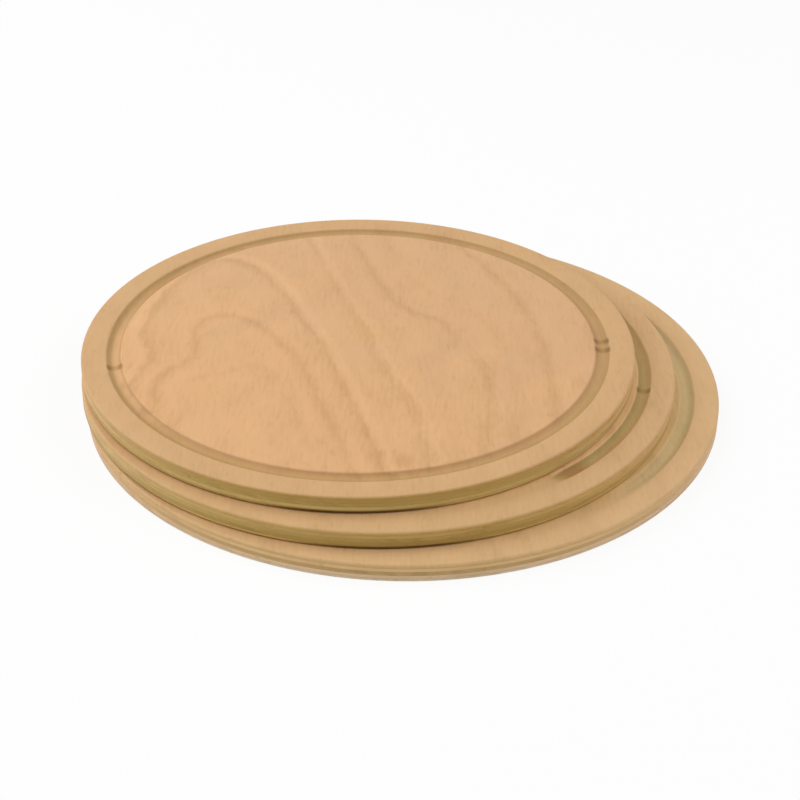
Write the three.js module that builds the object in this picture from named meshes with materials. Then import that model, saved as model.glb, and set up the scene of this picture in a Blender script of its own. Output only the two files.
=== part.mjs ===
// Set of three round pizza boards, stacked: five-ply beech plywood discs, each with a ring groove.
// Millimetres, +Z up. The origin is the centre of the large board's underside.

import * as THREE from 'three';

// Board diameters
const LARGE_DIAMETER = 320;
const MEDIUM_DIAMETER = 300;
const SMALL_DIAMETER = 280;

// How far each loose board lies off the centre of the board under it, and its gap to that board
const MEDIUM_SHIFT_X = -12.5;
const MEDIUM_SHIFT_Y = 1.7;
const SMALL_SHIFT_X = -10.3;
const SMALL_SHIFT_Y = 4;
const STACK_CLEARANCE = 0.2;

// Layers of the plywood
const VENEER_THICKNESS = 1.72;
const GLUE_THICKNESS = 0.1;

// Ring groove, cut by a round-nosed cutter into the face veneer, and the least wood left under it
const LARGE_RIM_WIDTH = 12.1;
const LARGE_GROOVE_WIDTH = 7.7;
const MEDIUM_RIM_WIDTH = 11.9;
const MEDIUM_GROOVE_WIDTH = 7;
const SMALL_RIM_WIDTH = 12.3;
const SMALL_GROOVE_WIDTH = 8;
const GROOVE_DEPTH = 1.5;
const GROOVE_WEB = 0.2;

// On the two lower boards the groove runs out at the front: degrees to each side of the front that
// have no groove, and degrees over which it then comes up to its full depth
const LARGE_GAP_ANGLE = 33;
const LARGE_RAMP_ANGLE = 37;
const MEDIUM_GAP_ANGLE = 35;
const MEDIUM_RAMP_ANGLE = 8;

// Rounded arrises of the rim
const ARRIS_RADIUS = 1.2;

// Fineness of the round surfaces
const RING_SEGMENTS = 72;
const ARRIS_STEPS = 3;
const COVE_STEPS = 8;

// Finishes
const FACE_FINISH = { color: 0xdcae80, roughness: 0.62, metalness: 0 };
const CROSSBAND_FINISH = { color: 0xc3a06c, roughness: 0.7, metalness: 0 };
const CORE_FINISH = { color: 0xb08a58, roughness: 0.72, metalness: 0 };
const GLUE_FINISH = { color: 0x94764f, roughness: 0.5, metalness: 0 };

// Layers from the underside up, each with its thickness
const LAYER_ORDER = [
  ['back_veneer', VENEER_THICKNESS],
  ['back_glue', GLUE_THICKNESS],
  ['lower_crossband', VENEER_THICKNESS],
  ['lower_core_glue', GLUE_THICKNESS],
  ['core_veneer', VENEER_THICKNESS],
  ['upper_core_glue', GLUE_THICKNESS],
  ['upper_crossband', VENEER_THICKNESS],
  ['face_glue', GLUE_THICKNESS],
  ['face_veneer', VENEER_THICKNESS],
];

// Bottom and top height of each layer over the board's underside
function stackLayers() {
  const heights = {};
  let bottom = 0;
  for (const [name, thickness] of LAYER_ORDER) {
    const top = bottom + thickness;
    heights[name] = { bottom, top };
    bottom = top;
  }
  return heights;
}

const layers = stackLayers();
const boardThickness = layers.face_veneer.top;

// An arris stays inside the veneer that it rounds
const arrisRadius = Math.min(ARRIS_RADIUS, VENEER_THICKNESS);

// Outline of a board and its groove, a circular cove that stays inside the face veneer
function boardShape(diameter, rimWidth, grooveWidth, gapAngle, rampAngle) {
  const radius = diameter / 2;
  const grooveReach = grooveWidth / 2;
  const grooveRadius = radius - rimWidth - grooveReach;
  const grooveDepth = Math.min(GROOVE_DEPTH, VENEER_THICKNESS - GROOVE_WEB, grooveReach);
  return { radius, grooveRadius, grooveReach, grooveDepth, gapAngle, rampAngle };
}

// Share of the groove's full depth at a point: none at the front, then a ramp up to all of it
function grooveShare({ gapAngle, rampAngle }, x, y) {
  if (rampAngle === 0) {
    return 1;
  }
  const fromFront = THREE.MathUtils.radToDeg(Math.abs(Math.atan2(x, -y)));
  return THREE.MathUtils.smoothstep(fromFront, gapAngle, gapAngle + rampAngle);
}

function point(x, y) {
  return new THREE.Vector2(x, y);
}

// Groove at its full depth, from its outer lip to its inner lip
function cove({ grooveRadius, grooveReach, grooveDepth }) {
  const points = [];
  const coveRadius = (grooveReach ** 2 + grooveDepth ** 2) / (2 * grooveDepth);
  const centreHeight = boardThickness + coveRadius - grooveDepth;
  for (let step = 0; step <= COVE_STEPS; step++) {
    const distance = grooveReach * (1 - 2 * step / COVE_STEPS);
    const height = centreHeight - Math.sqrt(coveRadius ** 2 - distance ** 2);
    points.push(point(grooveRadius + distance, height));
  }
  return points;
}

// Quarter round at the rim, from its upright end to its flat end: side is 1 at the face, -1 underneath
function arris(radius, height, side) {
  const points = [];
  for (let step = 0; step <= ARRIS_STEPS; step++) {
    const angle = Math.PI / 2 * step / ARRIS_STEPS;
    const inset = arrisRadius * (1 - Math.cos(angle));
    const drop = arrisRadius * (1 - Math.sin(angle));
    points.push(point(radius - inset, height - side * drop));
  }
  return points;
}

// A lathe turns its profile about Y, and this stands the turned piece up along Z
const Y_UP_TO_Z_UP = new THREE.Matrix4().set(1, 0, 0, 0, 0, 0, -1, 0, 0, 1, 0, 0, 0, 0, 0, 1);

// Turned solid: the profile runs from axis to axis
function turned(profile) {
  return new THREE.LatheGeometry(profile, RING_SEGMENTS).applyMatrix4(Y_UP_TO_Z_UP);
}

function plainDisc({ radius }, { bottom, top }) {
  return turned([point(0, bottom), point(radius, bottom), point(radius, top), point(0, top)]);
}

// Back veneer, rounded at its lower edge
function backVeneer({ radius }) {
  const { bottom, top } = layers.back_veneer;
  const edge = arris(radius, bottom, -1).reverse();
  return turned([point(0, bottom), ...edge, point(radius, top), point(0, top)]);
}

// Face veneer: its groove is turned to one depth all round and then eased up where it runs out
function faceVeneer(shape) {
  const { bottom, top } = layers.face_veneer;
  const edge = arris(shape.radius, top, 1);
  const geometry = turned([
    point(0, bottom),
    point(shape.radius, bottom),
    ...edge,
    ...cove(shape),
    point(0, top),
  ]);
  const place = geometry.attributes.position;
  for (let index = 0; index < place.count; index++) {
    const x = place.getX(index);
    const y = place.getY(index);
    if (Math.abs(Math.hypot(x, y) - shape.grooveRadius) < shape.grooveReach) {
      place.setZ(index, top - (top - place.getZ(index)) * grooveShare(shape, x, y));
    }
  }
  geometry.computeVertexNormals();
  return geometry;
}

// One board as a group of named pieces, with its underside at the group's origin
function board(name, shape) {
  const group = new THREE.Group();
  const add = (piece, geometry, finish) => {
    const mesh = new THREE.Mesh(geometry, new THREE.MeshStandardMaterial(finish));
    mesh.name = `${name}_${piece}`;
    group.add(mesh);
  };
  add('back_veneer', backVeneer(shape), FACE_FINISH);
  add('back_glue', plainDisc(shape, layers.back_glue), GLUE_FINISH);
  add('lower_crossband', plainDisc(shape, layers.lower_crossband), CROSSBAND_FINISH);
  add('lower_core_glue', plainDisc(shape, layers.lower_core_glue), GLUE_FINISH);
  add('core_veneer', plainDisc(shape, layers.core_veneer), CORE_FINISH);
  add('upper_core_glue', plainDisc(shape, layers.upper_core_glue), GLUE_FINISH);
  add('upper_crossband', plainDisc(shape, layers.upper_crossband), CROSSBAND_FINISH);
  add('face_glue', plainDisc(shape, layers.face_glue), GLUE_FINISH);
  add('face_veneer', faceVeneer(shape), FACE_FINISH);
  return group;
}

// The stack: each board stands on the one that carries it
const largeShape = boardShape(
  LARGE_DIAMETER, LARGE_RIM_WIDTH, LARGE_GROOVE_WIDTH, LARGE_GAP_ANGLE, LARGE_RAMP_ANGLE,
);
const mediumShape = boardShape(
  MEDIUM_DIAMETER, MEDIUM_RIM_WIDTH, MEDIUM_GROOVE_WIDTH, MEDIUM_GAP_ANGLE, MEDIUM_RAMP_ANGLE,
);
const smallShape = boardShape(SMALL_DIAMETER, SMALL_RIM_WIDTH, SMALL_GROOVE_WIDTH, 0, 0);
const largeBoard = board('large', largeShape);
const mediumBoard = board('medium', mediumShape);
const smallBoard = board('small', smallShape);
const stackStep = boardThickness + STACK_CLEARANCE;
mediumBoard.position.set(MEDIUM_SHIFT_X, MEDIUM_SHIFT_Y, stackStep);
smallBoard.position.set(SMALL_SHIFT_X, SMALL_SHIFT_Y, stackStep);
mediumBoard.add(smallBoard);
largeBoard.add(mediumBoard);

export default largeBoard;
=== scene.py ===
# Stack of three round plywood pizza boards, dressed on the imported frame. Metres, +Z up.
import math
from dataclasses import dataclass

import bmesh
import bpy
from mathutils import Matrix, Vector


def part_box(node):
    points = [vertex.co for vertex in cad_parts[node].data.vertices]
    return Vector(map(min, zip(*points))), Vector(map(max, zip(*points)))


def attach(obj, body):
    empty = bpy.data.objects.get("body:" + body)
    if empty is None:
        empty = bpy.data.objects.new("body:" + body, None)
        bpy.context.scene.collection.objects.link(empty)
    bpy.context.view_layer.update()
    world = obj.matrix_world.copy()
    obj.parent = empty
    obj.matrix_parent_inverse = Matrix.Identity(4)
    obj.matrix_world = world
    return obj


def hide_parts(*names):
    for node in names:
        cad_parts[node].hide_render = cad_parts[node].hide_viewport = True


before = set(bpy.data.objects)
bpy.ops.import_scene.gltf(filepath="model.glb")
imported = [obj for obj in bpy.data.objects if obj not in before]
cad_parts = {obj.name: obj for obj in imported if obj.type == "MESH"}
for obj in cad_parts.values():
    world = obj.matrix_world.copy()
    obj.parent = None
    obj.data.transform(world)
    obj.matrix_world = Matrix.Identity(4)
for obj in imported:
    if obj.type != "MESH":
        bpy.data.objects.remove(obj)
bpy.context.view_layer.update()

MM = 0.001


# Ring groove of each board and the rounded edges, the same sizes as the solids. The groove is missing
# within the angle gap of the front, and comes up to its full depth over the angle ramp after it
@dataclass(frozen=True)
class Groove:
    rim_width: float
    width: float
    gap: float
    ramp: float


GROOVES = {
    "small": Groove(12.3 * MM, 8 * MM, 0, 0),
    "medium": Groove(11.9 * MM, 7 * MM, math.radians(35), math.radians(8)),
    "large": Groove(12.1 * MM, 7.7 * MM, math.radians(33), math.radians(37)),
}
GROOVE_DEPTH = 1.5 * MM
ARRIS_RADIUS = 1.2 * MM

# Fine edges that the solids leave out
LIP_EASE = 0.35 * MM
PLY_EASE = 0.06 * MM
GLUE_RECESS = 0.08 * MM

# Fineness of the turned surfaces
RING_SEGMENTS = 360
ARRIS_STEPS = 8
COVE_STEPS = 24
LIP_STEPS = 4
SHARP_ANGLE = math.radians(30)


# Growth figure of a veneer sheet in millimetres: nested arches that open towards the front. The
# apex is a point on the arch whose distance from the log's heart is heart; taper is how fast that
# distance grows towards the back, and drift how far the arches lean. Beside a knot the lines swell
# sideways, by swell at its place and less over its reach
@dataclass(frozen=True)
class Knot:
    swell: float
    place: tuple
    reach: tuple


@dataclass(frozen=True)
class Figure:
    apex: tuple
    heart: float
    taper: float
    drift: float
    knots: tuple


FIGURES = {
    "small": Figure((-72, 50), 156, 0.08, 0.07, (
        Knot(39, (72, -17), (44, 111)),
        Knot(-43, (-84, -44), (23, 22)),
        Knot(45, (-83, -43), (35, 36)),
        Knot(5, (33, 17), (29, 14)),
    )),
    "medium": Figure((24, 52), 156, 0.08, -0.08, (Knot(-22, (-58, 0), (24, 60)),)),
    "large": Figure((-18, -10), 156, 0.08, 0.06, (Knot(26, (70, 20), (24, 60)),)),
}


# A growth line: its distance from the heart, and how strong its dark part and its light edge are
@dataclass(frozen=True)
class GrowthLine:
    distance: float
    dark: float
    light: float


GROWTH_LINES = (
    GrowthLine(150, 0.35, 0.1),
    GrowthLine(154, 1.0, 0.25),
    GrowthLine(159, 1.0, 0.85),
    GrowthLine(167, 0.7, 0.6),
    GrowthLine(171, 0.25, 0.0),
    GrowthLine(176, 0.85, 0.15),
    GrowthLine(183, 0.4, 0.1),
    GrowthLine(201, 0.9, 0.2),
    GrowthLine(233, 0.4, 0.1),
)
GROWTH_START = 145
GROWTH_SPAN = 90
# Tone across a line from LINE_REACH inside it to LINE_REACH outside it: the dark part and the edge
LINE_REACH = 10
DARK_PART = ((0.15, 0.0), (0.28, 0.2), (0.35, 0.4), (0.5, 1.0), (0.65, 0.33), (0.72, 0.15), (0.85, 0.0))
LIGHT_EDGE = ((0.55, 0.0), (0.65, 0.6), (0.73, 1.0), (0.8, 0.9), (0.93, 0.0))
FIGURE_AMOUNT = 0.26
# Share of a line's strength that is left where it fades most, and that is lost on the rim
FADED_LEVEL = 0.6
RIM_FIGURE_LOSS = 0.75


# Colours of a sheet, linear: on its flat surfaces, and at its sawn edge beside and across the grain
@dataclass(frozen=True)
class Veneer:
    flat: tuple
    side: tuple
    end: tuple


PALETTES = {
    "small": {
        "back_veneer": Veneer((0.66, 0.43, 0.19), (0.57, 0.36, 0.14), (0.69, 0.51, 0.165)),
        "lower_crossband": Veneer((0.68, 0.47, 0.18), (0.73, 0.57, 0.22), (0.53, 0.345, 0.12)),
        "core_veneer": Veneer((0.56, 0.38, 0.13), (0.69, 0.465, 0.21), (0.57, 0.405, 0.12)),
        "upper_crossband": Veneer((0.6, 0.38, 0.16), (0.55, 0.373, 0.107), (0.62, 0.37, 0.14)),
        "face_veneer": Veneer((0.751, 0.431, 0.205), (0.64, 0.386, 0.18), (0.55, 0.345, 0.092)),
    },
    "medium": {
        "back_veneer": Veneer((0.64, 0.42, 0.18), (0.56, 0.35, 0.145), (0.73, 0.53, 0.165)),
        "lower_crossband": Veneer((0.6, 0.41, 0.15), (0.51, 0.355, 0.1), (0.53, 0.35, 0.1)),
        "core_veneer": Veneer((0.56, 0.37, 0.13), (0.653, 0.428, 0.21), (0.57, 0.39, 0.118)),
        "upper_crossband": Veneer((0.6, 0.42, 0.165), (0.645, 0.44, 0.145), (0.66, 0.44, 0.165)),
        "face_veneer": Veneer((0.8, 0.51, 0.24), (0.65, 0.395, 0.185), (0.635, 0.4, 0.124)),
    },
    # The large board's sawn edges and crossbands are painted lighter than the other boards', standing in
    # for light bounced from the floor
    "large": {
        "back_veneer": Veneer((0.7, 0.47, 0.26), (0.68, 0.4, 0.22), (0.86, 0.68, 0.47)),
        "lower_crossband": Veneer((0.73, 0.55, 0.31), (0.85, 0.62, 0.36), (0.69, 0.475, 0.285)),
        "core_veneer": Veneer((0.68, 0.47, 0.23), (0.68, 0.445, 0.225), (0.625, 0.395, 0.16)),
        "upper_crossband": Veneer((0.7, 0.53, 0.26), (0.82, 0.55, 0.255), (0.66, 0.41, 0.195)),
        "face_veneer": Veneer((0.735, 0.495, 0.222), (0.67, 0.42, 0.2), (0.75, 0.47, 0.2)),
    },
}

# Glue lines: their colour, and how far its shades depart from it at the levels of their pattern
GLUE_TONE = (0.42, 0.27, 0.13)
GLUE_SHADES = ((0.2, 0.7), (0.8, 1.3))

# Tints that darken the wood
MARK_TINT = (0.6, 0.54, 0.42)
DARK_PLACE_TINT = (0.8, 0.66, 0.56)
SPOT_TINT = (0.89, 0.86, 0.81)
VOID_TINT = (0.7, 0.6, 0.5)

# Tilt of the surface from level over which it turns into sawn edge, and how squarely that edge faces
# along the grain where it turns into end grain
SAWN_TILT = (0.35, 0.95)
END_FACING = (0.35, 1.0)

# Open pores of a sawn edge: millimetres from the rim, and the levels of their pattern
VOID_BORDER = (1, 0.2)
VOID_LEVELS = (0.68, 0.76)


# A stretch of painted contact shadow on the lower arris: its middle in degrees round the board from the
# right, how far to each side of that it is darkest and how far it reaches, and how dark it is
@dataclass(frozen=True)
class ContactShade:
    middle: float
    darkest: float
    reach: float
    share: float


CONTACT_SHADES = {
    "small": (ContactShade(-90, 4, 22, 1.0), ContactShade(-130, 18, 32, 0.2)),
    "medium": (ContactShade(-87, 4, 20, 1.0), ContactShade(-162, 15, 40, 0.5)),
    "large": (),
}
# Colour of the painted contact shadow where the boards stand on each other
CONTACT_SHADE_TINT = (0.23, 0.17, 0.055)
# Where the painted contact shadow starts and ends: millimetres from the rim and over the board's underside
CONTACT_SHADE_BORDER = (1.6, 0.6)
CONTACT_SHADE_HEIGHT = (2.2, 1.0)

# Painted sheen: the face's colour drifts paler and bluer from the front left to the back right
SHEEN_DRIFT_TINTS = {"small": (0.945, 0.985, 1.06), "medium": (1, 1, 1), "large": (1, 1, 1)}
SHEEN_DRIFT_WAY = (0.5, 0.85, 0)
SHEEN_DRIFT_REACH = 0.8

# Rim against the face inside it, and the inner wall, floor and outer wall of the groove: the groove's
# tints are the cutter's browning together with painted shade on its walls, and painted light on the
# large board's floor
RIM_TINTS = {"small": (0.881, 0.933, 0.935), "medium": (0.82, 0.8, 0.81), "large": (0.93, 0.877, 0.95)}
GROOVE_BROWN_AND_SHADE_TINTS = {
    "small": ((0.67, 0.65, 0.535), (0.76, 0.75, 0.63), (0.68, 0.665, 0.535)),
    "medium": ((0.538, 0.571, 0.38), (0.77, 0.82, 0.67), (0.84, 0.89, 0.69)),
    "large": ((0.88, 0.94, 0.98), (0.94, 1.05, 1.1), (0.8, 0.92, 0.89)),
}
GROOVE_STOPS = (0.18, 0.5, 0.82)

# Where the rim's tint and the groove's browning and painted shade come up, in millimetres: in from the
# board's edge, out from the groove's lip and up from the face
RIM_BORDER = (20, 12.5)
GROOVE_BORDER = (0.3, -0.4)
BROWN_AND_SHADE_DEPTH = (-0.1, -0.7)

# Dark marks across a groove, in degrees round the board from the right
GROOVE_MARKS = {"small": (1.45, -2.55, -167.2), "medium": (-11,), "large": ()}
MARK_WIDTH = 3.6
# A mark is darkest over this share of its width, and weaker on the groove's floor than on its walls
MARK_CORE = 0.2
MARK_FLOOR_LEVEL = 0.55
MARK_WALLS = (0.8, 2.4)

# Soft dark spots on a face and dark brown places in a groove: millimetres from the board's centre.
# A patch is darkest over the share PATCH_CORE of its reach
PATCH_CORE = 0.2
FACE_SPOTS = {"small": ((22.9, -110),), "medium": (), "large": ()}
SPOT_REACH = 8
DARK_GROOVE_PLACES = {"small": (), "medium": ((91.5, -98.7),), "large": ()}
DARK_GROOVE_REACH = 13

# Stretches of a groove whose floor is painted lighter, as lit from above, with less of the groove's tint,
# and the inner and outer border of that floor, in widths of the groove from its middle
LIT_FLOOR_PLACES = {"small": ((-119, -32),), "medium": (), "large": ()}
LIT_FLOOR_REACH = 75
LIT_FLOOR_LOSS = 0.75
LIT_FLOOR_INSIDE = (-0.5, -0.2)
LIT_FLOOR_OUTSIDE = (0.25, -0.05)

# Sheets: angle of the grain from the front-to-back line, and the place in the log it was cut from
SHEETS = {
    "back_veneer": (0, (38, -41, 0)),
    "lower_crossband": (math.pi / 2, (-52, 23, 0)),
    "core_veneer": (0, (71, 12, 0)),
    "upper_crossband": (math.pi / 2, (14, -66, 0)),
    "face_veneer": (0, (0, 0, 0)),
}


# A noise pattern: its waves per millimetre across, along and through a sheet, and its detail
@dataclass(frozen=True)
class Pattern:
    waves: tuple
    detail: float


STREAKS = Pattern((0.6, 0.09, 0.6), 4)
FLECKS = Pattern((0.45, 0.12, 0.45), 1)
MOTTLE = Pattern((0.055, 0.03, 0.055), 4)
HUE = Pattern((0.035, 0.025, 0.035), 2)
SWAY = Pattern((0.03, 0.015, 0.03), 2)
RIPPLE = Pattern((0.3, 0.12, 0.3), 2)
FADING = Pattern((0.045, 0.02, 0.045), 2)
VOIDS = Pattern((0.13, 0.13, 0.7), 3)
MARK_EDGE = Pattern((0.5, 0.5, 0.5), 2)
BLOTCHES = Pattern((0.4, 0.4, 2.0), 3)

# Middle of a pattern's values and of the wood's tone, and the levels where flecks and fading come up
MIDDLE = 0.5
FLECK_LEVELS = (0.58, 0.72)
FADING_LEVELS = (0.3, 0.6)

# How much the patterns tell, in tone or in millimetres, and the darkest and lightest wood
STREAK_AMOUNT = 0.22
FLECK_AMOUNT = 0.1
MOTTLE_AMOUNT = 0.28
HUE_AMOUNT = 1.2
SWAY_AMOUNT = 3
RIPPLE_AMOUNT = 3
MARK_WANDER = 0.4
DARK_WOOD = (0.77, 0.72, 0.63)
LIGHT_WOOD = (1.13, 1.165, 1.22)

# Gloss and relief
WOOD_ROUGHNESS = 0.6
MOTTLE_ROUGHNESS = 0.08
STREAK_ROUGHNESS = 0.06
WOOD_BUMP = 0.35
FLECK_DEPTH = 0.6
RESIN_ROUGHNESS = 0.45
BLOTCH_ROUGHNESS = 0.15
RESIN_BUMP = 0.3
BUMP_DISTANCE = 0.05 * MM
SPECULAR_LEVEL = 0.3

# Camera
CAMERA_LENS = 83.41
CAMERA_DISTANCE = 946.9 * MM
CAMERA_ELEVATION = math.radians(31.7)
CAMERA_ROLL = math.radians(0.543)
CAMERA_TARGET = Vector((-1.565, -7.113, 0)) * MM
SENSOR_WIDTH = 36


# Soft boxes to the left and right of the object, and a little fill from the sky
@dataclass(frozen=True)
class SoftBox:
    place: Vector
    power: float


SOFT_BOXES = {
    "left_box": SoftBox(Vector((-1.1, 0.12, 1.05)), 26.5),
    "right_box": SoftBox(Vector((1.1, -0.18, 1.1)), 19),
}
BOX_WIDTH = 2.2
BOX_HEIGHT = 1.8
SKY_LEVEL = 0.06

# Floor: its share of plain white near the object, and the metres over which it turns all white
FLOOR_SIZE = 40
FLOOR_TONE = (0.95, 0.95, 0.95, 1)
FLOOR_WHITENING = 0.9
FLOOR_FADE = (0.6, 2.4)


# Boards as the frame holds them
@dataclass(frozen=True)
class Board:
    name: str
    centre: Vector
    radius: float
    groove: Groove
    levels: dict

    def top(self):
        return self.levels["face_veneer"][1]

    def groove_radius(self):
        return self.radius - self.groove.rim_width - self.groove.width / 2

    def cove_radius(self):
        return (self.groove.width ** 2 / 4 + GROOVE_DEPTH ** 2) / (2 * GROOVE_DEPTH)

    def cove_centre(self):
        return self.top() - GROOVE_DEPTH + self.cove_radius()

    def cove_half_width(self, height):
        return math.sqrt(self.cove_radius() ** 2 - (self.cove_centre() - height) ** 2)

    def cove_height(self, distance):
        return self.cove_centre() - math.sqrt(self.cove_radius() ** 2 - distance ** 2)

    def groove_share(self, off):
        if self.groove.ramp == 0:
            return 1
        from_front = abs(math.atan2(off.x, -off.y))
        share = min(max((from_front - self.groove.gap) / self.groove.ramp, 0), 1)
        return share ** 2 * (3 - 2 * share)


def read_board(name):
    lo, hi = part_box(f"{name}_core_veneer")
    levels = {}
    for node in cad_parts:
        if node.startswith(f"{name}_"):
            low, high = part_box(node)
            levels[node.removeprefix(f"{name}_")] = (low.z, high.z)
    centre = Vector(((lo.x + hi.x) / 2, (lo.y + hi.y) / 2, 0))
    return Board(name, centre, (hi.x - lo.x) / 2, GROOVES[name], levels)


# Profiles of the turned pieces: points (radius, height) from the axis round to the axis
def arris(board, height, side):
    points = []
    for step in range(ARRIS_STEPS + 1):
        angle = math.pi / 2 * step / ARRIS_STEPS
        inset = ARRIS_RADIUS * (1 - math.cos(angle))
        drop = ARRIS_RADIUS * (1 - math.sin(angle))
        points.append((board.radius - inset, height - side * drop))
    return points


def eased_lip(board, side):
    middle = board.groove_radius()
    below = board.top() - LIP_EASE
    corner = Vector((middle + side * board.groove.width / 2, board.top()))
    on_face = corner + Vector((side * LIP_EASE, 0))
    on_wall = Vector((middle + side * board.cove_half_width(below), below))
    points = []
    for step in range(LIP_STEPS + 1):
        share = step / LIP_STEPS
        blend = on_wall.lerp(corner, share).lerp(corner.lerp(on_face, share), share)
        points.append(tuple(blend))
    return points


def cove(board):
    reach = board.cove_half_width(board.top() - LIP_EASE)
    points = []
    for step in range(1, COVE_STEPS):
        distance = reach * (1 - 2 * step / COVE_STEPS)
        points.append((board.groove_radius() + distance, board.cove_height(distance)))
    return points


def low_edge(board, bottom):
    return [(board.radius - PLY_EASE, bottom), (board.radius, bottom + PLY_EASE)]


def high_edge(board, top):
    return [(board.radius, top - PLY_EASE), (board.radius - PLY_EASE, top)]


def ply_profile(board, bottom, top):
    return [(0, bottom), *low_edge(board, bottom), *high_edge(board, top), (0, top)]


def glue_profile(board, bottom, top):
    edge = board.radius - GLUE_RECESS
    return [(0, bottom), (edge, bottom), (edge, top), (0, top)]


def back_profile(board, bottom, top):
    return [(0, bottom), *reversed(arris(board, bottom, -1)), *high_edge(board, top), (0, top)]


def face_profile(board, bottom, top):
    groove = [*reversed(eased_lip(board, 1)), *cove(board), *eased_lip(board, -1)]
    return [(0, bottom), *low_edge(board, bottom), *arris(board, top, 1), *groove, (0, top)]


PROFILES = {
    "back_veneer": back_profile,
    "back_glue": glue_profile,
    "lower_crossband": ply_profile,
    "lower_core_glue": glue_profile,
    "core_veneer": ply_profile,
    "upper_core_glue": glue_profile,
    "upper_crossband": ply_profile,
    "face_glue": glue_profile,
    "face_veneer": face_profile,
}


# Turned meshes
def ring(mesh, board, radius, height):
    if radius == 0:
        return [mesh.verts.new((board.centre.x, board.centre.y, height))] * RING_SEGMENTS
    verts = []
    for segment in range(RING_SEGMENTS):
        angle = 2 * math.pi * segment / RING_SEGMENTS
        across = board.centre.x + radius * math.sin(angle)
        along = board.centre.y + radius * math.cos(angle)
        verts.append(mesh.verts.new((across, along, height)))
    return verts


def turned(board, profile):
    mesh = bmesh.new()
    rings = [ring(mesh, board, radius, height) for radius, height in profile]
    for inner, outer in zip(rings, rings[1:]):
        for segment in range(RING_SEGMENTS):
            after = (segment + 1) % RING_SEGMENTS
            corners = (inner[segment], inner[after], outer[after], outer[segment])
            mesh.faces.new(dict.fromkeys(corners))
    bmesh.ops.recalc_face_normals(mesh, faces=mesh.faces)
    return mesh


# Groove eased up to the face where it runs out
def run_out(mesh, board):
    reach = board.groove.width / 2 + LIP_EASE
    for vert in mesh.verts:
        off = vert.co.xy - board.centre.xy
        if abs(off.length - board.groove_radius()) < reach:
            depth = board.top() - vert.co.z
            vert.co.z = board.top() - depth * board.groove_share(off)


def place_piece(node, board, layer):
    bottom, top = board.levels[layer]
    mesh = turned(board, PROFILES[layer](board, bottom, top))
    if layer == "face_veneer":
        run_out(mesh, board)
    data = bpy.data.meshes.new(f"fine_{node}")
    mesh.to_mesh(data)
    mesh.free()
    data.shade_smooth()
    data.set_sharp_from_angle(angle=SHARP_ANGLE)
    piece = bpy.data.objects.new(f"fine_{node}", data)
    bpy.context.scene.collection.objects.link(piece)
    return piece


# Sockets of a Mix node that blends colours: factor, first and second colour, and the result
MIX_INPUTS = (0, 6, 7)
MIX_RESULT = 2


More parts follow.
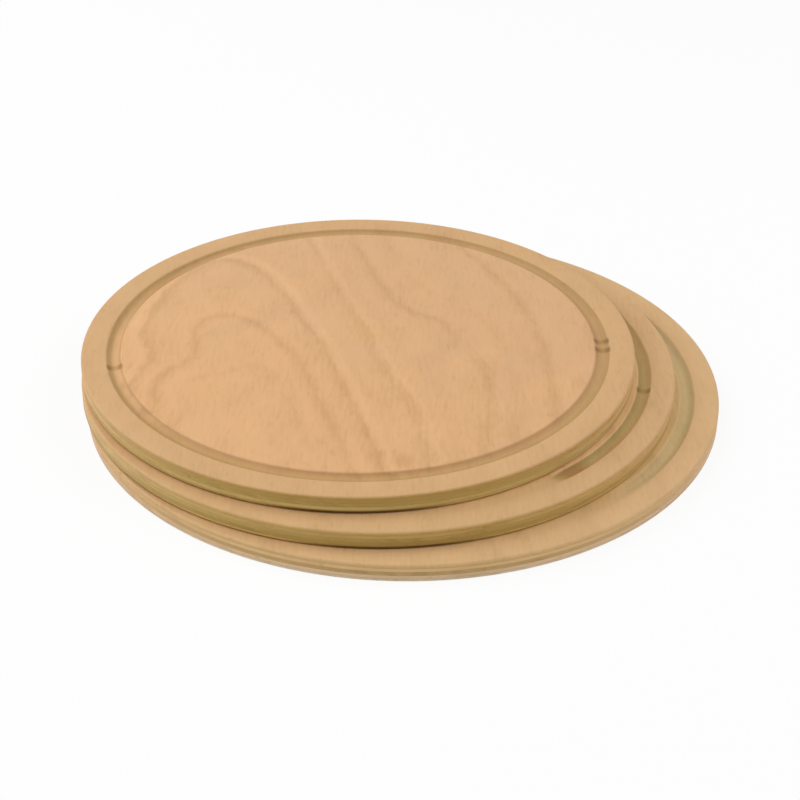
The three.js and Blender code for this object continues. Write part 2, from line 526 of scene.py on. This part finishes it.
# Short forms for making the nodes of one tree
class Shader:
    def __init__(self, tree):
        self.tree = tree
        tree.nodes.clear()

    def feed(self, socket, value):
        if isinstance(value, bpy.types.NodeSocket):
            self.tree.links.new(value, socket)
        else:
            socket.default_value = value

    def node(self, kind, inputs=(), **settings):
        made = self.tree.nodes.new(kind)
        for key, value in settings.items():
            setattr(made, key, value)
        for key, value in dict(inputs).items():
            self.feed(made.inputs[key], value)
        return made

    def math(self, operation, first, second=0.0):
        values = {0: first, 1: second}
        return self.node("ShaderNodeMath", values, operation=operation).outputs[0]

    def product(self, *terms):
        result = terms[0]
        for term in terms[1:]:
            result = self.math("MULTIPLY", result, term)
        return result

    def total(self, *terms):
        result = terms[0]
        for term in terms[1:]:
            result = self.math("ADD", result, term)
        return result

    def largest(self, terms):
        result = 0.0
        for term in terms:
            result = self.math("MAXIMUM", result, term)
        return result

    def vector(self, operation, first, second):
        values = {0: first, 1: second}
        return self.node("ShaderNodeVectorMath", values, operation=operation).outputs["Vector"]

    def dot(self, first, second):
        values = {0: first, 1: second}
        made = self.node("ShaderNodeVectorMath", values, operation="DOT_PRODUCT")
        return made.outputs["Value"]

    def level_length(self, vector):
        flat = self.vector("MULTIPLY", vector, (1, 1, 0))
        return self.node("ShaderNodeVectorMath", {0: flat}, operation="LENGTH").outputs["Value"]

    def height(self, vector):
        return self.node("ShaderNodeSeparateXYZ", {"Vector": vector}).outputs["Z"]

    def step(self, value, start, end):
        values = {"Value": value, "From Min": start, "From Max": end}
        made = self.node("ShaderNodeMapRange", values, interpolation_type="SMOOTHSTEP")
        return made.outputs["Result"]

    def between(self, share, low, high):
        return self.math("ADD", self.math("MULTIPLY", share, high - low), low)

    def spread(self, value, amount):
        centred = self.math("SUBTRACT", value, MIDDLE)
        return self.math("MULTIPLY", centred, 2 * amount)

    def noise(self, point, pattern):
        stretched = self.vector("MULTIPLY", point, pattern.waves)
        values = {"Vector": stretched, "Scale": 1.0, "Detail": pattern.detail}
        return self.node("ShaderNodeTexNoise", values).outputs["Fac"]

    def squared(self, value):
        return self.math("POWER", value, 2)

    def hypotenuse(self, first, second):
        return self.math("SQRT", self.total(self.squared(first), self.squared(second)))

    def ramp(self, value, stops, interpolation="LINEAR"):
        made = self.node("ShaderNodeValToRGB", {"Fac": value})
        made.color_ramp.interpolation = interpolation
        elements = made.color_ramp.elements
        while len(elements) > 1:
            elements.remove(elements[-1])
        elements[0].position, elements[0].color = stops[0]
        for position, color in stops[1:]:
            elements.new(position).color = color
        return made.outputs["Color"]

    def profile(self, value, stops):
        return self.ramp(value, [(stop, (level, level, level, 1)) for stop, level in stops])

    def tint(self, color, tint, share):
        made = self.node("ShaderNodeMix", data_type="RGBA", blend_type="MULTIPLY")
        if not isinstance(tint, bpy.types.NodeSocket):
            tint = (*tint, 1)
        for socket, value in zip(MIX_INPUTS, (share, color, tint)):
            self.feed(made.inputs[socket], value)
        return made.outputs[MIX_RESULT]

    def surface(self, color, roughness, height, bump):
        values = {"Strength": bump, "Distance": BUMP_DISTANCE, "Height": height}
        normal = self.node("ShaderNodeBump", values).outputs["Normal"]
        surface = self.node("ShaderNodeBsdfPrincipled", {
            "Base Color": color,
            "Roughness": roughness,
            "Specular IOR Level": SPECULAR_LEVEL,
            "Normal": normal,
        })
        self.show("ShaderNodeOutputMaterial", surface.outputs["BSDF"])

    def show(self, output, surface):
        self.node(output, {"Surface": surface})


def new_material(name):
    material = bpy.data.materials.new(name)
    material.use_nodes = True
    return material, Shader(material.node_tree)


def scaled(tone, factor):
    return tuple(channel * factor for channel in tone)


def tinted(tone, tint):
    return tuple(channel * share for channel, share in zip(tone, tint))


def ratio(tone, base):
    return tuple(channel / whole for channel, whole in zip(tone, base))


# Point on a board in millimetres from its centre, turned so that Y runs along the grain
def board_point(shader, board, grain_angle):
    place = shader.node("ShaderNodeTexCoord").outputs["Object"]
    middle = Vector((board.centre.x, board.centre.y, board.top()))
    moved = shader.vector("SUBTRACT", place, middle)
    values = {"Vector": moved, "Rotation": (0, 0, grain_angle), "Scale": (1 / MM,) * 3}
    return shader.node("ShaderNodeMapping", values).outputs["Vector"]


# Distance from the log's heart, which the growth lines follow, and how fast it changes. A swell falls
# off with the square of the distance from its knot, so twice that distance goes into its slope
def heart_distance(shader, point, figure):
    sway = shader.spread(shader.noise(point, SWAY), SWAY_AMOUNT)
    ripple = shader.spread(shader.noise(point, RIPPLE), RIPPLE_AMOUNT)
    split = shader.node("ShaderNodeSeparateXYZ", {"Vector": point}).outputs
    away = shader.math("SUBTRACT", split["Y"], figure.apex[1])
    lean = shader.math("MULTIPLY", away, figure.drift)
    across = shader.total(split["X"], -figure.apex[0], lean, sway, ripple)
    turn = (1, figure.drift, 0)
    for knot in figure.knots:
        reach = (*knot.reach, 1)
        off = shader.vector("DIVIDE", shader.vector("SUBTRACT", point, (*knot.place, 0)), reach)
        fall = shader.math("MULTIPLY", shader.squared(shader.level_length(off)), -1)
        swell = shader.math("MULTIPLY", shader.math("EXPONENT", fall), knot.swell)
        across = shader.math("SUBTRACT", across, swell)
        bend = shader.vector("MULTIPLY", shader.vector("DIVIDE", off, reach), swell)
        turn = shader.vector("ADD", turn, shader.vector("MULTIPLY", bend, (2, 2, 0)))
    depth = shader.total(shader.math("MULTIPLY", away, figure.taper), figure.heart, split["Z"])
    distance = shader.hypotenuse(across, depth)
    sideways = shader.vector("MULTIPLY", turn, across)
    inwards = shader.vector("MULTIPLY", (0, figure.taper, 0), depth)
    slope = shader.level_length(shader.vector("ADD", sideways, inwards))
    return distance, shader.math("DIVIDE", slope, distance)


# Stops of a stepped ramp that holds, for each stretch of the growth, the line nearest to it
def growth_stops():
    stops = []
    start = GROWTH_START
    for line, after in zip(GROWTH_LINES, (*GROWTH_LINES[1:], GROWTH_LINES[-1])):
        values = ((line.distance - GROWTH_START) / GROWTH_SPAN, line.dark, line.light, 1)
        stops.append(((start - GROWTH_START) / GROWTH_SPAN, values))
        start = (line.distance + after.distance) / 2
    return stops


# Growth lines on a sheet, as a tone about zero
def growth_figure(shader, point, figure):
    distance, slope = heart_distance(shader, point, figure)
    grown = shader.math("DIVIDE", shader.math("SUBTRACT", distance, GROWTH_START), GROWTH_SPAN)
    nearest = shader.ramp(grown, growth_stops(), "CONSTANT")
    line, dark, light = shader.node("ShaderNodeSeparateColor", {"Color": nearest}).outputs[:3]
    beyond = shader.math("MULTIPLY", shader.math("SUBTRACT", grown, line), GROWTH_SPAN)
    beyond = shader.math("DIVIDE", beyond, slope)
    place = shader.math("ADD", shader.math("DIVIDE", beyond, 2 * LINE_REACH), MIDDLE)
    dark_part = shader.product(shader.profile(place, DARK_PART), dark)
    light_edge = shader.product(shader.profile(place, LIGHT_EDGE), light)
    fading = shader.step(shader.noise(point, FADING), *FADING_LEVELS)
    lines = shader.math("SUBTRACT", light_edge, dark_part)
    return shader.product(lines, shader.between(fading, FADED_LEVEL, 1.0))


# Shares of a point's surface that are sawn edge beside the grain and across it
def edge_shares(shader, board, point, grain_angle):
    normal = shader.node("ShaderNodeTexCoord").outputs["Normal"]
    rim_middle = (board.radius - board.groove.rim_width / 2) / MM
    outside = shader.math("GREATER_THAN", shader.level_length(point), rim_middle)
    sawn = shader.product(shader.step(shader.level_length(normal), *SAWN_TILT), outside)
    along = (math.sin(grain_angle), math.cos(grain_angle), 0)
    facing = shader.math("ABSOLUTE", shader.dot(normal, along))
    end = shader.product(sawn, shader.step(facing, *END_FACING))
    return shader.math("SUBTRACT", sawn, end), end


# Distance outwards from the groove's centre line, in millimetres
def groove_offset(shader, board, point):
    return shader.math("SUBTRACT", shader.level_length(point), board.groove_radius() / MM)


# Share of the groove's hollow at a point
def in_groove(shader, board, point):
    half = board.groove.width / 2 / MM
    distance = shader.math("ABSOLUTE", groove_offset(shader, board, point))
    past_lip = shader.math("SUBTRACT", distance, half)
    return shader.step(past_lip, *GROOVE_BORDER)


# Groove browned by the cutter and painted with shade, its walls and floor unlike; where it catches light
# from above its floor is painted lighter
def brown_and_shade_groove(shader, board, point, color):
    place = shader.math("DIVIDE", groove_offset(shader, board, point), board.groove.width / MM)
    tones = [(*tint, 1) for tint in GROOVE_BROWN_AND_SHADE_TINTS[board.name]]
    tint = shader.ramp(shader.math("ADD", place, MIDDLE), list(zip(GROOVE_STOPS, tones)))
    deep = shader.step(shader.height(point), *BROWN_AND_SHADE_DEPTH)
    # Painted light: the groove floor is left lighter where it catches light from above
    lit_floor = patches(shader, point, LIT_FLOOR_PLACES[board.name], LIT_FLOOR_REACH)
    floor = shader.product(shader.step(place, *LIT_FLOOR_INSIDE), shader.step(place, *LIT_FLOOR_OUTSIDE))
    tint_share = shader.between(shader.product(lit_floor, floor), 1.0, 1.0 - LIT_FLOOR_LOSS)
    return shader.tint(color, tint, shader.product(in_groove(shader, board, point), deep, tint_share))


# Share of the face's painted sheen drift, broken up by random patches of tone
def face_sheen_drift(shader, board, point):
    way = scaled(SHEEN_DRIFT_WAY, MM / board.radius)
    patchy = shader.spread(shader.noise(point, HUE), HUE_AMOUNT)
    return shader.step(shader.total(shader.dot(point, way), patchy), -SHEEN_DRIFT_REACH, SHEEN_DRIFT_REACH)


# Distance in from the board's edge, in millimetres
def edge_inset(shader, board, point):
    return shader.math("SUBTRACT", board.radius / MM, shader.level_length(point))


# Share of the rim, which is tinted unlike the face inside it and shows less of the figure
def rim_share(shader, board, point):
    return shader.step(edge_inset(shader, board, point), *RIM_BORDER)


# Lower arris, darkened by painted contact shadow where the board stands on what is under it
def arris_contact_shade(shader, board, point):
    near_edge = shader.step(edge_inset(shader, board, point), *CONTACT_SHADE_BORDER)
    bottom = (board.levels["back_veneer"][0] - board.top()) / MM
    low = shader.step(shader.math("SUBTRACT", shader.height(point), bottom), *CONTACT_SHADE_HEIGHT)
    stretches = []
    for shade_stretch in CONTACT_SHADES[board.name]:
        angle = math.radians(shade_stretch.middle)
        outward = (math.cos(angle), math.sin(angle), 0)
        along = shader.dot(point, scaled(outward, MM / board.radius))
        ends = (math.cos(math.radians(shade_stretch.reach)), math.cos(math.radians(shade_stretch.darkest)))
        stretches.append(shader.product(shader.step(along, *ends), shade_stretch.share))
    return shader.product(near_edge, low, shader.largest(stretches))


# Open pores and small gaps in the sawn edge of a ply
def edge_voids(shader, board, point):
    near_edge = shader.step(edge_inset(shader, board, point), *VOID_BORDER)
    gaps = shader.step(shader.noise(point, VOIDS), *VOID_LEVELS)
    return shader.product(near_edge, gaps)


# Dark marks across the groove, darkest on its walls
def groove_marks(shader, board, point):
    wander = shader.spread(shader.noise(point, MARK_EDGE), MARK_WANDER)
    marks = []
    for degrees in GROOVE_MARKS[board.name]:
        angle = math.radians(degrees)
        outward = (math.cos(angle), math.sin(angle), 0)
        sideways = (-math.sin(angle), math.cos(angle), 0)
        off = shader.math("ABSOLUTE", shader.total(shader.dot(point, sideways), wander))
        same_side = shader.math("GREATER_THAN", shader.dot(point, outward), 0.0)
        mark = shader.step(off, MARK_WIDTH, MARK_WIDTH * MARK_CORE)
        marks.append(shader.product(mark, same_side))
    distance = shader.math("ABSOLUTE", groove_offset(shader, board, point))
    walls = shader.between(shader.step(distance, *MARK_WALLS), MARK_FLOOR_LEVEL, 1.0)
    return shader.product(shader.largest(marks), walls, in_groove(shader, board, point))


# Soft round patches about the places given
def patches(shader, point, places, reach):
    shares = []
    for place in places:
        off = shader.level_length(shader.vector("SUBTRACT", point, (*place, 0)))
        shares.append(shader.step(off, reach, reach * PATCH_CORE))
    return shader.largest(shares)


# Tone of the bare wood: growth lines, streaks, patches and flecks about its middle
def wood_tone(shader, figure, streaks, flecks, mottle):
    return shader.total(
        MIDDLE,
        shader.math("MULTIPLY", figure, FIGURE_AMOUNT),
        shader.spread(streaks, STREAK_AMOUNT),
        shader.spread(mottle, MOTTLE_AMOUNT),
        shader.math("MULTIPLY", flecks, -FLECK_AMOUNT),
    )


# Face of a board: its painted sheen drift, tinted rim, groove browning with painted shade and light, marks,
# spots and dark brown places
def face_marks_and_shading(shader, board, point, color, rim, sawn):
    inner_rim = shader.product(rim, shader.math("SUBTRACT", 1.0, sawn))
    inside = shader.math("SUBTRACT", 1.0, rim)
    drift = shader.product(inside, face_sheen_drift(shader, board, point))
    # Painted sheen towards the back right of the face
    color = shader.tint(color, SHEEN_DRIFT_TINTS[board.name], drift)
    color = shader.tint(color, RIM_TINTS[board.name], inner_rim)
    color = brown_and_shade_groove(shader, board, point, color)
    color = shader.tint(color, MARK_TINT, groove_marks(shader, board, point))
    spots = patches(shader, point, FACE_SPOTS[board.name], SPOT_REACH)
    color = shader.tint(color, SPOT_TINT, spots)
    dark_place = patches(shader, point, DARK_GROOVE_PLACES[board.name], DARK_GROOVE_REACH)
    return shader.tint(color, DARK_PLACE_TINT, shader.product(dark_place, in_groove(shader, board, point)))


def wood(board, layer):
    grain_angle, shift = SHEETS[layer]
    veneer = PALETTES[board.name][layer]
    material, shader = new_material(f"{board.name}_{layer}_beech")
    point = board_point(shader, board, grain_angle)
    sheet = shader.vector("ADD", point, shift)
    figure = growth_figure(shader, sheet, FIGURES[board.name])
    streaks = shader.noise(sheet, STREAKS)
    flecks = shader.step(shader.noise(sheet, FLECKS), *FLECK_LEVELS)
    mottle = shader.noise(sheet, MOTTLE)
    if layer == "face_veneer":
        rim = rim_share(shader, board, point)
        figure = shader.product(figure, shader.between(rim, 1.0, 1.0 - RIM_FIGURE_LOSS))
    color = shader.ramp(wood_tone(shader, figure, streaks, flecks, mottle), (
        (0.0, (*tinted(veneer.flat, DARK_WOOD), 1)),
        (MIDDLE, (*veneer.flat, 1)),
        (1.0, (*tinted(veneer.flat, LIGHT_WOOD), 1)),
    ))
    side, end = edge_shares(shader, board, point, grain_angle)
    color = shader.tint(color, ratio(veneer.side, veneer.flat), side)
    color = shader.tint(color, ratio(veneer.end, veneer.flat), end)
    color = shader.tint(color, VOID_TINT, edge_voids(shader, board, point))
    # Painted contact shadow on the back veneer's lower arris
    if layer == "back_veneer":
        color = shader.tint(color, CONTACT_SHADE_TINT, arris_contact_shade(shader, board, point))
    if layer == "face_veneer":
        color = face_marks_and_shading(shader, board, point, color, rim, shader.total(side, end))
    uneven = shader.total(shader.spread(mottle, MOTTLE_ROUGHNESS), shader.spread(streaks, STREAK_ROUGHNESS))
    roughness = shader.total(WOOD_ROUGHNESS, uneven)
    height = shader.total(streaks, shader.math("MULTIPLY", flecks, -FLECK_DEPTH))
    shader.surface(color, roughness, height, WOOD_BUMP)
    return material


def resin(board):
    material, shader = new_material(f"{board.name}_resin")
    point = board_point(shader, board, 0)
    blotches = shader.noise(point, BLOTCHES)
    shades = [(stop, (*scaled(GLUE_TONE, factor), 1)) for stop, factor in GLUE_SHADES]
    color = shader.ramp(blotches, shades)
    roughness = shader.total(RESIN_ROUGHNESS, shader.spread(blotches, BLOTCH_ROUGHNESS))
    shader.surface(color, roughness, blotches, RESIN_BUMP)
    return material


# Materials of a board: one for each sheet, and one for its glue lines
def board_materials(board):
    glue = resin(board)
    return {layer: wood(board, layer) if layer in SHEETS else glue for layer in board.levels}


def dress_board(name):
    board = read_board(name)
    materials = board_materials(board)
    for layer in board.levels:
        node = f"{name}_{layer}"
        piece = place_piece(node, board, layer)
        piece.data.materials.append(materials[layer])
        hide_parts(node)
        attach(piece, f"{name}_board")


for board_name in ("large", "medium", "small"):
    dress_board(board_name)


# Rays that see the backdrop itself, so that it looks white to them
def seeing_rays(shader):
    path = shader.node("ShaderNodeLightPath").outputs
    return shader.largest((path["Is Camera Ray"], path["Is Glossy Ray"], path["Is Transmission Ray"]))


def make_floor():
    material, shader = new_material("pale_floor")
    plain = shader.node("ShaderNodeBsdfDiffuse", {"Color": FLOOR_TONE}).outputs["BSDF"]
    white = shader.node("ShaderNodeEmission", {"Strength": 1.0}).outputs["Emission"]
    place = shader.node("ShaderNodeTexCoord").outputs["Object"]
    far = shader.step(shader.level_length(place), *FLOOR_FADE)
    share = shader.product(seeing_rays(shader), shader.between(far, FLOOR_WHITENING, 1.0))
    mixed = shader.node("ShaderNodeMixShader", {0: share, 1: plain, 2: white}).outputs[0]
    shader.show("ShaderNodeOutputMaterial", mixed)
    mesh = bmesh.new()
    bmesh.ops.create_grid(mesh, x_segments=1, y_segments=1, size=FLOOR_SIZE / 2)
    data = bpy.data.meshes.new("floor")
    mesh.to_mesh(data)
    mesh.free()
    data.materials.append(material)
    floor = bpy.data.objects.new("floor", data)
    bpy.context.scene.collection.objects.link(floor)


def make_sky():
    world = bpy.data.worlds.new("studio")
    world.use_nodes = True
    bpy.context.scene.world = world
    shader = Shader(world.node_tree)
    strength = shader.between(seeing_rays(shader), SKY_LEVEL, 1.0)
    sky = shader.node("ShaderNodeBackground", {"Strength": strength, "Color": (1, 1, 1, 1)})
    shader.show("ShaderNodeOutputWorld", sky.outputs["Background"])


def make_soft_box(name, box):
    data = bpy.data.lights.new(name, "AREA")
    data.shape = "RECTANGLE"
    data.size = BOX_WIDTH
    data.size_y = BOX_HEIGHT
    data.energy = box.power
    light = bpy.data.objects.new(name, data)
    bpy.context.scene.collection.objects.link(light)
    turn = box.place.to_track_quat("Z", "Y").to_matrix().to_4x4()
    light.matrix_world = Matrix.Translation(box.place) @ turn


def make_camera():
    data = bpy.data.cameras.new("camera")
    data.sensor_width = SENSOR_WIDTH
    data.lens = CAMERA_LENS
    camera = bpy.data.objects.new("camera", data)
    bpy.context.scene.collection.objects.link(camera)
    back = Vector((0, -math.cos(CAMERA_ELEVATION), math.sin(CAMERA_ELEVATION)))
    level = Vector((1, 0, 0))
    upright = back.cross(level)
    right = level * math.cos(CAMERA_ROLL) + upright * math.sin(CAMERA_ROLL)
    turn = Matrix((right, back.cross(right), back)).transposed().to_4x4()
    camera.matrix_world = Matrix.Translation(CAMERA_TARGET + back * CAMERA_DISTANCE) @ turn
    bpy.context.scene.camera = camera


make_floor()
make_sky()
for box_name, soft_box in SOFT_BOXES.items():
    make_soft_box(box_name, soft_box)
make_camera()
bpy.context.scene.view_settings.view_transform = "Standard"
